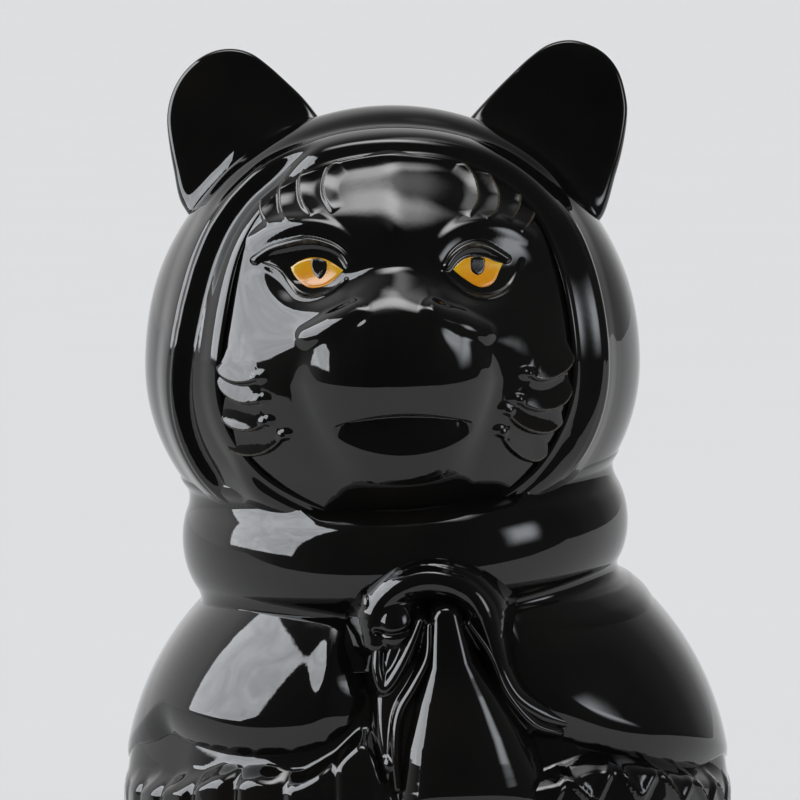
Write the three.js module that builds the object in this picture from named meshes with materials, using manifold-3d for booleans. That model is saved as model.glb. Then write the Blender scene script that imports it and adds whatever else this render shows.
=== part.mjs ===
// Seated beckoning cat figurine in hollow glazed ceramic, wearing a rolled scarf knotted under its hood.
// Millimetres, +Z up. The cat faces -Y, so its left side is +X. The origin is on the ground, under the
// middle of the figure. The ceramic is built from castings that stand a small gap apart.
import * as THREE from "three";
import { mergeVertices } from "three/addons/utils/BufferGeometryUtils.js";
import Module from "manifold-3d";

const wasm = await Module();
wasm.setup();

// ---------- driving dimensions ----------
const WALL = 5.5; // ceramic wall
const GAP = 0.3; // clearance between neighbouring castings
const FOOT = 1.8; // height of the foot ring above the ground, carried by the felt pads
const degrees = THREE.MathUtils.degToRad;

const HEAD = { at: [-8.2, -3, 200], radius: 62 };
const GAZE = degrees(8); // how far the face looks up
const FACE = { across: 2.7, up: 1, radius: 47 }; // opening of the hood, on the line of sight
const MUZZLE = { at: [2, -49, -12], half: [27, 17, 21] };
const NOSE = { at: [1.5, -61, 0], half: [12, 7.5, 7] };
const EYE = { half: [6.3, 3.4], pupil: 1.9, plate: 0.7 };
const EYES = { left_iris: [20.6, 20.6], right_iris: [-19.2, 20.6] }; // across and up, on the line of sight

const TORSO = { at: [0, 0, 92], half: [76, 68, 70], lean: degrees(4.6) }; // it leans to the cat's right
const BELLY_DROP = 150; // half height of the lower body, under the middle of the torso
const HAUNCH = { at: [50, -8, 36], half: [26.5, 40, 36] };
const HEM = { height: 7, pitch: degrees(16) }; // lower edge of the cape, higher at the front
const ROLL = { at: [-4.9, -1, 155], ring: 42, tube: 14, lean: degrees(3.3), pitch: degrees(9.4) };

const KNOT = { at: [1.2, -58.5, 144], half: [17.5, 12, 11.5] };
const SCARF_LIFT = 6; // how far the hanging scarf ends stand off the chest
const LEFT_SCARF_END = [[-3, 150], [6, 150], [13, 130], [25, 106], [24, 99], [-8, 101], [-8, 118]];
const RIGHT_SCARF_END = [[-16, 148], [-5, 150], [-8.5, 130], [-8.5, 112], [-14, 110], [-17, 124], [-20, 136]];

const FORELEG = { radius: 12.5, paw: [12.5, 11, 13] };
const RAISED = [[60, -16, 72], [58, -44, 58], [46, -60, 60], [36, -62, 75]]; // shoulder, elbow, wrist, paw
const RESTING = [[-48, -34, 80], [-36, -52, 52], [-20, -60, 26], [-15, -60, 13]];
const HIND_PAWS = { left_hind_paw: 38, right_hind_paw: -43 };
const HIND_PAW = { half: [14.5, 22, 13], y: -52.5, z: 11 };
const TAIL = { radius: 10.5, route: [[4, 60, 13], [32, 62, 13], [54, 50, 13], [65, 34, 13], [66, 14, 13]] };

const BASE = { vent: 9, recess: 40, depth: 2.5, floor: 6 }; // casting hole, unglazed recess, base thickness
const PAD = { radius: 5.5, thick: 1.5, across: 42, along: 27 };

// ---------- materials ----------
const paint = (color, roughness) => new THREE.MeshStandardMaterial({ color, roughness, metalness: 0 });
const glaze = paint(0x0b0b0c, 0.08);
const amber = paint(0xe59a12, 0.15);
const pupilBlack = paint(0x050505, 0.1);
const felt = paint(0x2b2d2c, 0.95);

// ---------- solids ----------
const at = (x, y, z) => new THREE.Matrix4().makeTranslation(x, y, z);
const turnX = (angle) => new THREE.Matrix4().makeRotationX(angle);
const turnY = (angle) => new THREE.Matrix4().makeRotationY(angle);
const chain = (...matrices) => matrices.reduce((all, next) => all.multiply(next), new THREE.Matrix4());

function solid(geometry, matrix) {
  const bare = geometry.clone();
  bare.deleteAttribute("normal");
  bare.deleteAttribute("uv");
  bare.applyMatrix4(matrix);
  const merged = mergeVertices(bare, 1e-4);
  const vertProperties = merged.attributes.position.array;
  const triVerts = new Uint32Array(merged.index.array);
  return new wasm.Manifold(new wasm.Mesh({ numProp: 3, vertProperties, triVerts }));
}

const ellipsoid = ([x, y, z], matrix, around = 24, rings = 16) =>
  solid(new THREE.SphereGeometry(1, around, rings).rotateX(Math.PI / 2).scale(x, y, z), matrix);

// A round bar along +Z from the frame's origin.
const bar = (radius, length, matrix, sides = 32) =>
  solid(new THREE.CylinderGeometry(radius, radius, length, sides).rotateX(Math.PI / 2).translate(0, 0, length / 2), matrix);

// A block that fills everything above the frame's ground plane.
const BIG = 400;
const above = (matrix) => solid(new THREE.BoxGeometry(BIG, BIG, BIG).translate(0, 0, BIG / 2), matrix);

// A round limb along a curve, closed by a ball at each end.
function limb(points, radius, steps = 8) {
  const curve = new THREE.CatmullRomCurve3(points.map((point) => new THREE.Vector3(...point)));
  const section = new THREE.Shape().absarc(0, 0, radius, 0, Math.PI * 2);
  const tube = solid(new THREE.ExtrudeGeometry(section, { extrudePath: curve, steps, curveSegments: 5 }), at(0, 0, 0));
  const end = (point) => ellipsoid([radius, radius, radius], at(...point), 12, 8);
  return tube.add(end(points[0])).add(end(points.at(-1)));
}

function mesh(name, material, made) {
  const data = made.getMesh();
  const geometry = new THREE.BufferGeometry();
  geometry.setAttribute("position", new THREE.BufferAttribute(new Float32Array(data.vertProperties), 3));
  geometry.setIndex(new THREE.BufferAttribute(new Uint32Array(data.triVerts), 1));
  geometry.computeVertexNormals();
  const piece = new THREE.Mesh(geometry, material);
  piece.name = name;
  return piece;
}

// ---------- frames ----------
const headFrame = chain(at(...HEAD.at), turnX(-GAZE));
const torsoFrame = chain(at(...TORSO.at), turnY(-TORSO.lean));
const hemFrame = chain(torsoFrame, at(0, 0, HEM.height), turnX(-HEM.pitch));
const rollFrame = chain(at(...ROLL.at), turnY(-ROLL.lean), turnX(ROLL.pitch));
const grow = (half, by) => half.map((value) => value + by);

// ---------- outer forms, each grown by a clearance where a neighbour is cut to it ----------
const ball = (by) => ellipsoid([HEAD.radius + by, HEAD.radius + by, HEAD.radius + by], headFrame);
const upperBody = (by) => ellipsoid(grow(TORSO.half, by), torsoFrame);

function lowerBody(by) {
  const [x, y] = TORSO.half;
  const whole = ellipsoid([x + by, y + by, BELLY_DROP + by], at(...TORSO.at));
  return whole.subtract(above(at(...TORSO.at)));
}

function figure(by) {
  const [x, y, z] = HAUNCH.at;
  const haunch = (side) => ellipsoid(grow(HAUNCH.half, by), at(side * x, y, z), 18, 12);
  return upperBody(by).add(lowerBody(by)).add(haunch(1)).add(haunch(-1));
}

const rolled = (by) =>
  solid(new THREE.TorusGeometry(ROLL.ring, ROLL.tube + by, 10, 32), rollFrame);
const knotted = (by) => ellipsoid(grow(KNOT.half, by), at(...KNOT.at), 16, 10);
// A round bar from the middle of the head, out along the line of sight.
const sightBar = (radius, across, up) =>
  bar(radius, BIG / 3, chain(headFrame, at(across, 0, up), turnX(Math.PI / 2)));

// ---------- head ----------
function hoodShell() {
  const opening = sightBar(FACE.radius + GAP / 2, FACE.across, FACE.up);
  const neck = bar(ROLL.ring, ROLL.tube * 2, chain(rollFrame, at(0, 0, -ROLL.tube - 1)));
  const hood = ball(0).subtract(ball(-WALL)).subtract(opening);
  return hood.intersect(above(rollFrame)).subtract(neck).subtract(rolled(GAP));
}

function faceForm(by) {
  const muzzle = ellipsoid(grow(MUZZLE.half, by), chain(headFrame, at(...MUZZLE.at)), 18, 12);
  const nose = ellipsoid(grow(NOSE.half, by), chain(headFrame, at(...NOSE.at)), 12, 8);
  return ball(by).add(muzzle).add(nose);
}

function faceShell() {
  const opening = sightBar(FACE.radius - GAP / 2, FACE.across, FACE.up);
  return faceForm(0).subtract(ball(-WALL)).intersect(opening).subtract(rolled(GAP));
}

// Leaf-shaped ear with its tip leaning outwards. Side is +1 for the cat's left.
function ear(side) {
  const outline = new THREE.Shape();
  outline.moveTo(10, 50);
  outline.lineTo(16.5, 61);
  outline.bezierCurveTo(27, 68, 34, 77, 44, 77);
  outline.bezierCurveTo(53, 76, 58, 66, 57, 55);
  outline.bezierCurveTo(56.5, 48, 54, 42, 52, 34);
  outline.lineTo(44, 28);
  outline.closePath();
  const plate = new THREE.ExtrudeGeometry(outline, {
    depth: 5,
    curveSegments: 10,
    bevelThickness: 2,
    bevelSize: 2,
    bevelOffset: -2,
    bevelSegments: 3,
  });
  plate.rotateX(Math.PI / 2);
  plate.translate(0, 4.5, 0);
  if (side < 0) plate.scale(-1, 1, 1);
  const made = solid(side < 0 ? flipped(plate) : plate, headFrame);
  return made.subtract(ball(GAP));
}

// Turns each triangle of a mirrored geometry round, so that its faces point out again.
function flipped(geometry) {
  const turned = geometry.index ? geometry.toNonIndexed() : geometry.clone();
  const place = turned.attributes.position.array;
  for (let i = 0; i < place.length; i += 9)
    for (let k = 0; k < 3; k++) [place[i + 3 + k], place[i + 6 + k]] = [place[i + 6 + k], place[i + 3 + k]];
  return turned;
}

// A thin enamel plate that lies on the face, cut out by a bar along the line of sight.
function eyePlate([across, up], halfWidth, halfHeight) {
  const sight = chain(headFrame, at(across, 0, up), turnX(Math.PI / 2));
  const outline = new THREE.CylinderGeometry(1, 1, BIG / 3, 12).rotateX(Math.PI / 2);
  outline.translate(0, 0, BIG / 6).scale(halfWidth, halfHeight, 1);
  return solid(outline, sight).intersect(faceForm(GAP + EYE.plate)).subtract(faceForm(GAP));
}

function iris(place) {
  const [halfWidth, halfHeight] = EYE.half;
  const hole = EYE.pupil + GAP;
  return eyePlate(place, halfWidth, halfHeight).subtract(sightBar(hole, ...place));
}

// ---------- scarf ----------
// The roll is a ring that is hollow towards the neck.
function neckRoll() {
  const neck = bar(ROLL.ring - 4, BIG / 3, chain(rollFrame, at(0, 0, -BIG / 6)));
  return rolled(0).subtract(rolled(-WALL)).subtract(neck);
}

const scarfKnot = () => knotted(0).subtract(rolled(GAP)).subtract(ball(GAP)).subtract(figure(GAP));

// A scarf end lying on the chest: an outline seen from the front, cut to the chest behind it.
function scarfEnd(points) {
  const outline = new THREE.Shape(points.map(([x, z]) => new THREE.Vector2(x, z)));
  const slab = new THREE.ExtrudeGeometry(outline, { depth: 100, bevelEnabled: false });
  slab.rotateX(Math.PI / 2);
  const cloth = solid(slab, at(0, 0, 0)).intersect(figure(SCARF_LIFT)).subtract(figure(GAP));
  return cloth.subtract(rolled(GAP)).subtract(knotted(GAP));
}

// ---------- body ----------
function capeShell() {
  const hollow = upperBody(-WALL);
  const neck = bar(ROLL.ring, BIG / 3, rollFrame);
  const cape = upperBody(0).subtract(hollow).intersect(above(hemFrame));
  return cape.subtract(neck).subtract(rolled(GAP));
}

function bodyShell() {
  const hollow = figure(-WALL).intersect(above(at(0, 0, FOOT + BASE.floor)));
  const recess = bar(BASE.recess, BASE.depth * 2, at(0, 0, FOOT - BASE.depth));
  const vent = bar(BASE.vent, BASE.floor * 3, at(0, 0, 0), 16);
  const below = above(chain(hemFrame, at(0, 0, -GAP)));
  return onGround(figure(0)).subtract(hollow).subtract(below).subtract(recess).subtract(vent);
}

const onGround = (made) => made.intersect(above(at(0, 0, FOOT)));

// The raised foreleg comes forward from under the cape and bends up to its paw.
function raisedForeleg() {
  const paw = ellipsoid(FORELEG.paw, at(...RAISED.at(-1)), 14, 10);
  return limb(RAISED, FORELEG.radius).add(paw).subtract(figure(GAP));
}

// The other foreleg reaches down the front to the ground.
function restingForeleg() {
  const paw = ellipsoid(FORELEG.paw, at(...RESTING.at(-1)), 14, 10);
  return onGround(limb(RESTING, FORELEG.radius).add(paw)).subtract(figure(GAP));
}

function hindPaw(x) {
  const paw = ellipsoid(HIND_PAW.half, at(x, HIND_PAW.y, HIND_PAW.z), 14, 10);
  return onGround(paw).subtract(figure(GAP));
}

const curledTail = () => onGround(limb(TAIL.route, TAIL.radius, 9)).subtract(figure(GAP));

const feltPad = (x, y) => bar(PAD.radius, PAD.thick, at(x, y, 0), 16);

// ---------- assembly ----------
const cat = new THREE.Group();
cat.name = "beckoning_cat";

cat.add(
  mesh("hood_shell", glaze, hoodShell()),
  mesh("face_shell", glaze, faceShell()),
  mesh("left_ear", glaze, ear(1)),
  mesh("right_ear", glaze, ear(-1)),
  mesh("neck_roll", glaze, neckRoll()),
  mesh("scarf_knot", glaze, scarfKnot()),
  mesh("left_scarf_end", glaze, scarfEnd(LEFT_SCARF_END)),
  mesh("right_scarf_end", glaze, scarfEnd(RIGHT_SCARF_END)),
  mesh("cape_shell", glaze, capeShell()),
  mesh("body_shell", glaze, bodyShell()),
  mesh("raised_foreleg", glaze, raisedForeleg()),
  mesh("resting_foreleg", glaze, restingForeleg()),
  mesh("curled_tail", glaze, curledTail()),
);

for (const [name, x] of Object.entries(HIND_PAWS)) cat.add(mesh(name, glaze, hindPaw(x)));

for (const [name, place] of Object.entries(EYES)) {
  cat.add(mesh(name, amber, iris(place)));
  cat.add(mesh(name.replace("iris", "pupil"), pupilBlack, eyePlate(place, EYE.pupil, EYE.pupil)));
}

for (const [end, y] of [["front", -PAD.along], ["back", PAD.along]])
  for (const [side, x] of [["left", PAD.across], ["right", -PAD.across]])
    cat.add(mesh(`felt_pad_${end}_${side}`, felt, feltPad(x, y)));

export default cat;
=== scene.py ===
"""Looks of the glazed beckoning cat figurine.

Lengths are in millimetres, +Z up, and the cat faces -Y, so its left is at +X. Meshes are written in metres.
"""
import bpy
import numpy as np
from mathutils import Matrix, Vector


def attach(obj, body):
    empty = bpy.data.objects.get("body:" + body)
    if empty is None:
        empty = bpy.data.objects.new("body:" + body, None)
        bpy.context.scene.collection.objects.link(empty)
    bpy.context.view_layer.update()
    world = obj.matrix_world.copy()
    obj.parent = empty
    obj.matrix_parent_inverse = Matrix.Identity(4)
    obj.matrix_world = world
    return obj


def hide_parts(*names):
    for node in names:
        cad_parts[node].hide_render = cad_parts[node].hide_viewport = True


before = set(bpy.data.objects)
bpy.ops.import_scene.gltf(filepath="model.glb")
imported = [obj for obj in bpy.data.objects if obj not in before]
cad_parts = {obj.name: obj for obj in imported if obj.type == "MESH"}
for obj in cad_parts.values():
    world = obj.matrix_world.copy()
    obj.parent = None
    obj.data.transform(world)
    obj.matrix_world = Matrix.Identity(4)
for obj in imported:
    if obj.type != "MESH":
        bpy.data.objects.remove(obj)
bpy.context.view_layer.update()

MM = 0.001
FINE = 1.0


def count(n):
    return max(8, int(round(n * FINE)))


# ---------------------------------------------------------------- small maths
def turn(axis, angle):
    """Matrix of a turn by an angle in degrees."""
    c, s = np.cos(np.radians(angle)), np.sin(np.radians(angle))
    if axis == "x":
        return np.array([[1, 0, 0], [0, c, -s], [0, s, c]])
    if axis == "y":
        return np.array([[c, 0, s], [0, 1, 0], [-s, 0, c]])
    return np.array([[c, -s, 0], [s, c, 0], [0, 0, 1]])


def step(x, low=0.0, high=1.0):
    """0 below low, 1 above high, smooth between."""
    t = np.clip((x - low) / (high - low), 0, 1)
    return t * t * (3 - 2 * t)


def smax(a, b, k):
    """The larger of a and b, blended where they are within k of each other."""
    h = np.clip(0.5 + 0.5 * (a - b) / k, 0, 1)
    return b * (1 - h) + a * h + k * h * (1 - h)


def smin(a, b, k):
    return -smax(-a, -b, k)


def lift(d, form, k):
    """Adds a form to a relief, blended over k at its foot."""
    return d + smax(form, 0.0, k)


def around(table, waves=5):
    """A smooth function of an angle in degrees through a table of (angle, value)."""
    angles = np.radians([a for a, _ in table])
    values = np.array([v for _, v in table], float)

    def basis(t):
        rows = [np.ones_like(t)]
        for n in range(1, waves + 1):
            rows += [np.cos(n * t), np.sin(n * t)]
        return np.stack(rows, -1)

    b = basis(angles)
    damp = np.diag([0.0] + [0.002 * n ** 3 for n in range(1, waves + 1) for _ in (0, 1)])
    weights = np.linalg.solve(b.T @ b + damp, b.T @ values)
    return lambda degrees: basis(np.radians(degrees)) @ weights


def ring(table, soft):
    """A function of an angle in degrees through a table of (angle, value), softened over soft degrees."""
    grid = np.arange(720) / 2
    angles = [a for a, _ in table]
    values = np.interp(grid, angles, [v for _, v in table], period=360)
    shift = np.minimum(grid, 360 - grid)
    kernel = np.exp(-(shift / soft) ** 2)
    smooth = np.fft.ifft(np.fft.fft(values) * np.fft.fft(kernel / kernel.sum())).real
    return lambda degrees: np.interp(degrees, grid, smooth, period=360)


CUTS = 5  # stretches that a line is cut into from one of its points to the next


def distances(line):
    """Distance along a line to each of its points."""
    return np.concatenate([[0], np.cumsum(np.linalg.norm(np.diff(line, axis=0), axis=1))])


def curve(points, parts=CUTS):
    """A Catmull-Rom line through points, each stretch cut into parts."""
    p = np.array(points, float)
    p = np.vstack([2 * p[0] - p[1], p, 2 * p[-1] - p[-2]])
    out = []
    for i in range(1, len(p) - 2):
        for t in np.linspace(0, 1, parts, endpoint=False):
            a, b, c, d = p[i - 1:i + 3]
            out.append(0.5 * (2 * b + (c - a) * t + (2 * a - 5 * b + 4 * c - d) * t * t
                              + (3 * b - a - 3 * c + d) * t ** 3))
    out.append(p[-2])
    return np.array(out)


def along(u, w, points):
    """Distance from (u, w) to a line, signed by its side, and how far along the line that is, 0 to 1."""
    best = np.full(u.shape, 1e9)
    share = np.zeros(u.shape)
    side = np.ones(u.shape)
    start = distances(points)
    for i, length in enumerate(np.linalg.norm(np.diff(points, axis=0), axis=1)):
        a, b = points[i], points[i + 1]
        t = np.clip(((u - a[0]) * (b[0] - a[0]) + (w - a[1]) * (b[1] - a[1])) / length ** 2, 0, 1)
        du, dw = u - a[0] - t * (b[0] - a[0]), w - a[1] - t * (b[1] - a[1])
        d = np.hypot(du, dw)
        near = d < best
        best = np.where(near, d, best)
        share = np.where(near, (start[i] + t * length) / start[-1], share)
        side = np.where(near, np.sign((b[0] - a[0]) * dw - (b[1] - a[1]) * du), side)
    return best, share, side


def oval(u, w, at, half, tilt=0.0):
    """Squared distance from at, in units of the oval's half sizes."""
    c, s = np.cos(np.radians(tilt)), np.sin(np.radians(tilt))
    du, dw = u - at[0], w - at[1]
    return ((du * c + dw * s) / half[0]) ** 2 + ((dw * c - du * s) / half[1]) ** 2


def mound(u, w, at, half, height, tilt=0.0):
    """A soft hill."""
    return height * np.exp(-oval(u, w, at, half, tilt))


def cap(u, w, at, half, height, tilt=0.0):
    """A domed oval. It falls away below zero."""
    return height * (1 - oval(u, w, at, half, tilt))


def stroke(u, w, points, half_width, height, taper):
    """A rounded bar along a line, to be lifted off a surface. Taper is its share of full size at start, middle
    and end."""
    d, t, _ = along(u, w, curve(points))
    width = half_width * np.interp(t, [0, 0.5, 1], taper)
    return height * np.interp(t, [0, 0.5, 1], taper) * (1 - (d / width) ** 2)


def bar(u, w, points, widths, heights, power=2):
    """A rounded bar whose half width and height are given at each of its points. It falls away below zero."""
    line = curve(points)
    reach, t, _ = along(u, w, line)
    span = distances(line)
    knots = span[::CUTS] / span[-1]
    width, height = np.interp(t, knots, widths), np.interp(t, knots, heights)
    return height - np.maximum(height, 2) * (reach / width) ** power


def ledge(u, w, points, height, gentle, steep, uphill):
    """A scale's edge: the surface rises gently up to the line from the uphill side and drops steeply past it.
    Gives its height, and how near each place is to the line."""
    reach, t, side = along(u, w, curve(points))
    tall = height * np.sin(np.pi * np.clip(t, 0, 1)) ** 0.6
    rise = (1 - np.clip(reach / gentle, 0, 1)) ** 1.6
    slope = np.where(side * uphill > 0, rise, 1 - step(reach, 0, steep))
    line = np.exp(-((reach - 0.1) / 0.28) ** 2) * np.sin(np.pi * np.clip(t, 0, 1)) ** 0.4
    return tall * slope, line


# ---------------------------------------------------------------- meshes
def quads(rows, columns, wrap=True, offset=0):
    """Faces of a grid of vertices, row by row, closed round its columns if wrap."""
    i = np.arange(rows - 1)[:, None]
    j = np.arange(columns if wrap else columns - 1)[None]
    k = (j + 1) % columns
    f = np.stack([i * columns + j, i * columns + k, (i + 1) * columns + k, (i + 1) * columns + j], -1)
    return f.reshape(-1, 4) + offset


def tube_faces(rows, columns):
    """A grid closed round its columns, with its first and last rows closed by fans to two more vertices."""
    j = np.arange(columns)
    k = (j + 1) % columns
    first, last = rows * columns, rows * columns + 1
    low = np.stack([np.full(columns, first), k, j], -1)
    high = np.stack([(rows - 1) * columns + j, (rows - 1) * columns + k, np.full(columns, last)], -1)
    return [quads(rows, columns), low, high]


def border(rows, columns):
    """Vertices round the edge of a grid, in order."""
    right = columns * np.arange(1, rows) + columns - 1
    top = columns * (rows - 1) + np.arange(columns - 2, -1, -1)
    left = columns * np.arange(rows - 2, 0, -1)
    return np.concatenate([np.arange(columns), right, top, left])


def band(first, second):
    """Faces between two closed rows of vertices."""
    return np.stack([first, np.roll(first, -1), np.roll(second, -1), second], -1)


def fan(row, tip):
    """Faces between a closed row of vertices and one vertex."""
    return np.stack([row, np.roll(row, -1), np.full(len(row), tip)], -1)


def build(name, vertices, faces, material, stands_for, marks=None):
    """Makes a piece on the root body from millimetre vertices and lists of faces. Marks says where the glaze runs
    thin, or how far up an enamel plate each vertex is."""
    mesh = bpy.data.meshes.new(name)
    mesh.vertices.add(len(vertices))
    mesh.vertices.foreach_set("co", (np.asarray(vertices, np.float64) * MM).ravel())
    loops = np.concatenate([f.ravel() for f in faces])
    sizes = np.concatenate([np.full(len(f), f.shape[1]) for f in faces])
    mesh.loops.add(len(loops))
    mesh.loops.foreach_set("vertex_index", loops)
    mesh.polygons.add(len(sizes))
    mesh.polygons.foreach_set("loop_start", np.concatenate([[0], np.cumsum(sizes)[:-1]]))
    mesh.polygons.foreach_set("loop_total", sizes)
    mesh.update(calc_edges=True)
    mesh.validate()
    if signed_volume(mesh) < 0:
        mesh.flip_normals()
    mesh.shade_smooth()
    if marks is not None:
        layer = mesh.attributes.new("thin_glaze", "FLOAT", "POINT")
        layer.data.foreach_set("value", np.asarray(marks, np.float32))
    mesh.materials.append(material)
    piece = bpy.data.objects.new(name, mesh)
    bpy.context.scene.collection.objects.link(piece)
    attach(piece, "root")
    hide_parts(*stands_for)


def signed_volume(mesh):
    """Six times the volume; below zero when the faces point inwards."""
    mesh.calc_loop_triangles()
    co = np.empty(len(mesh.vertices) * 3)
    mesh.vertices.foreach_get("co", co)
    tri = np.empty(len(mesh.loop_triangles) * 3, int)
    mesh.loop_triangles.foreach_get("vertices", tri)
    a, b, c = co.reshape(-1, 3)[tri.reshape(-1, 3)].transpose(1, 0, 2)
    return float(np.einsum("ij,ij->i", a, np.cross(b, c)).sum())


SHEET_GRID = 0.3
SHEET_BACK = 3.0  # how far the back of a sheet lies behind its edge


def patch(name, box, ground, relief, nodes):
    """A sheet of relief over a ground surface, seen from the front. It is sunk where its relief is below zero."""
    x0, x1, z0, z1 = box
    columns, rows = count((x1 - x0) / SHEET_GRID), count((z1 - z0) / SHEET_GRID)
    x, z = np.meshgrid(np.linspace(x0, x1, columns), np.linspace(z0, z1, rows))
    y = ground(x, z) - relief(x, z)
    front = np.stack([x, y, z], -1).reshape(-1, 3)
    edge = border(rows, columns)
    back = front[edge] + [0, SHEET_BACK, 0]
    base = len(front) + np.arange(len(edge))
    middle = [[back[:, 0].mean(), back[:, 1].max(), back[:, 2].mean()]]
    faces = [quads(rows, columns, wrap=False), band(edge, base), fan(base, len(front) + len(back))]
    build(name, np.vstack([front, back, middle]), faces, GLAZE, nodes)


# ---------------------------------------------------------------- camera
LOOK_AT = np.array([-6.5, 0.0, 190.0])
ELEVATION = 6.0
DISTANCE = 1300.0
FIELD = 200.0  # width of the view at the distance of LOOK_AT
SENSOR = 36


def make_camera():
    data = bpy.data.cameras.new("camera")
    data.sensor_width = SENSOR
    data.lens = SENSOR * DISTANCE / FIELD
    data.clip_start, data.clip_end = 0.05, 100
    camera = bpy.data.objects.new("camera", data)
    bpy.context.scene.collection.objects.link(camera)
    e = np.radians(ELEVATION)
    camera.location = (LOOK_AT + DISTANCE * np.array([0, -np.cos(e), np.sin(e)])) * MM
    camera.rotation_euler = (np.radians(90 - ELEVATION), 0, 0)
    bpy.context.scene.camera = camera


# ---------------------------------------------------------------- materials
def shader_of(name, **values):
    """A new material, its tree and its shader with some of its inputs set."""
    material = bpy.data.materials.new(name)
    material.use_nodes = True
    tree = material.node_tree
    shader = next(n for n in tree.nodes if n.type == "BSDF_PRINCIPLED")
    fill(shader, **values)
    return material, tree, shader


def fill(node, **values):
    """Sets inputs by name, with _ for a space."""
    for key, value in values.items():
        node.inputs[key.replace("_", " ")].default_value = value


def node_of(tree, kind, **values):
    """A new node of a shader kind with some of its inputs set."""
    node = tree.nodes.new("ShaderNode" + kind)
    fill(node, **values)
    return node


def ramp(tree, source, stops):
    """Colours at places from 0 to 1 along a source."""
    node = node_of(tree, "ValToRGB")
    node.color_ramp.elements.remove(node.color_ramp.elements[0])
    for i, (at, colour) in enumerate(stops):
        element = node.color_ramp.elements[0] if i == 0 else node.color_ramp.elements.new(at)
        element.position = at
        element.color = (*colour, 1)
    tree.links.new(source, node.inputs["Fac"])
    return node


def noise(tree, scale, detail, rough=0.5):
    where = node_of(tree, "TexCoord")
    node = node_of(tree, "TexNoise", Scale=scale, Detail=detail, Roughness=rough)
    tree.links.new(where.outputs["Object"], node.inputs["Vector"])
    return node


def bump(tree, shader, source, strength, distance):
    node = node_of(tree, "Bump", Strength=strength, Distance=distance)
    tree.links.new(source, node.inputs["Height"])
    tree.links.new(node.outputs["Normal"], shader.inputs["Normal"])


def math(tree, operation, *terms, clamp=False):
    """Output of a math node. A term is a number or another node's output."""
    node = node_of(tree, "Math")
    node.operation = operation
    node.use_clamp = clamp
    for socket, value in zip(node.inputs, terms):
        if isinstance(value, (int, float)):
            socket.default_value = value
        else:
            tree.links.new(value, socket)
    return node.outputs[0]


def make_glaze():
    """Glossy black glaze: near black, browner and duller where it runs thin off sharp strokes."""
    material, tree, shader = shader_of("black_glaze", IOR=1.55)
    thin = node_of(tree, "Attribute")
    thin.attribute_name = "thin_glaze"
    broken = noise(tree, 900, 4, 0.7)
    break_line = math(tree, "MULTIPLY", thin.outputs["Fac"], broken.outputs["Fac"])
    break_line = math(tree, "MULTIPLY_ADD", break_line, 2.6, -0.35, clamp=True)
    pool = noise(tree, 35, 3)
    body = ramp(tree, pool.outputs["Fac"], [(0.3, (0.0022, 0.0022, 0.0024)), (0.7, (0.0062, 0.0056, 0.005))])
    mix = node_of(tree, "Mix")
    mix.data_type = "RGBA"
    tree.links.new(break_line, mix.inputs["Factor"])
    tree.links.new(body.outputs["Color"], mix.inputs["A"])
    mix.inputs["B"].default_value = (0.085, 0.07, 0.05, 1)
    tree.links.new(mix.outputs["Result"], shader.inputs["Base Color"])
    gloss = node_of(tree, "MapRange", To_Min=0.035, To_Max=0.3)
    tree.links.new(break_line, gloss.inputs["Value"])
    tree.links.new(gloss.outputs["Result"], shader.inputs["Roughness"])
    peel = noise(tree, 160, 3, 0.55)
    bump(tree, shader, peel.outputs["Fac"], 0.12, 0.0002)
    return material


def make_enamel(name, stops, roughness):
    """Brushed enamel, its colour running across the plate by the height marked on its vertices."""
    material, tree, shader = shader_of(name, Roughness=roughness, IOR=1.6)
    height = node_of(tree, "Attribute")
    height.attribute_name = "thin_glaze"
    streak = noise(tree, 700, 4, 0.6)
    shifted = math(tree, "MULTIPLY_ADD", streak.outputs["Fac"], 0.5, -0.25)
    total = math(tree, "ADD", height.outputs["Fac"], shifted, clamp=True)
    colour = ramp(tree, total, stops)
    tree.links.new(colour.outputs["Color"], shader.inputs["Base Color"])
    bump(tree, shader, streak.outputs["Fac"], 0.15, 0.0002)
    return material


def make_felt():
    material, tree, shader = shader_of("wool_felt", Roughness=0.95, Sheen_Weight=0.4)
    fibre = noise(tree, 2500, 6, 0.75)
    colour = ramp(tree, fibre.outputs["Fac"], [(0.3, (0.012, 0.013, 0.013)), (0.75, (0.06, 0.062, 0.06))])
    tree.links.new(colour.outputs["Color"], shader.inputs["Base Color"])
    bump(tree, shader, fibre.outputs["Fac"], 0.7, 0.0006)
    return material


def make_paper():
    """Seamless paper under the object."""
    material, tree, shader = shader_of("seamless_paper", Roughness=0.9, Specular_IOR_Level=0.1)
    grain = noise(tree, 6, 2)
    colour = ramp(tree, grain.outputs["Fac"], [(0.3, (0.947, 0.944, 0.95)), (0.7, (0.954, 0.951, 0.957))])
    tree.links.new(colour.outputs["Color"], shader.inputs["Base Color"])
    return material


make_camera()
GLAZE = make_glaze()
IRIS = make_enamel("iris_enamel", [(0.0, (0.69, 0.25, 0.005)), (0.4, (0.69, 0.36, 0.006)),
                                   (0.75, (0.64, 0.42, 0.009)), (1.0, (0.37, 0.32, 0.017))], 0.12)
PUPIL = make_enamel("pupil_enamel", [(0.0, (0.004, 0.004, 0.004)), (1.0, (0.012, 0.01, 0.008))], 0.06)
FELT = make_felt()

# ---------------------------------------------------------------- head
HEAD = np.array([-8.5, -3.0, 199.5])
HEAD_TURN = turn("y", -1.5) @ turn("z", 1.0) @ turn("x", -8.0)
HALF = (62.3, 58.0, 64.0, 54.0)  # across, front to back, up, down
FACE_SINK = 3.0  # the face lies this far under the hood

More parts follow.
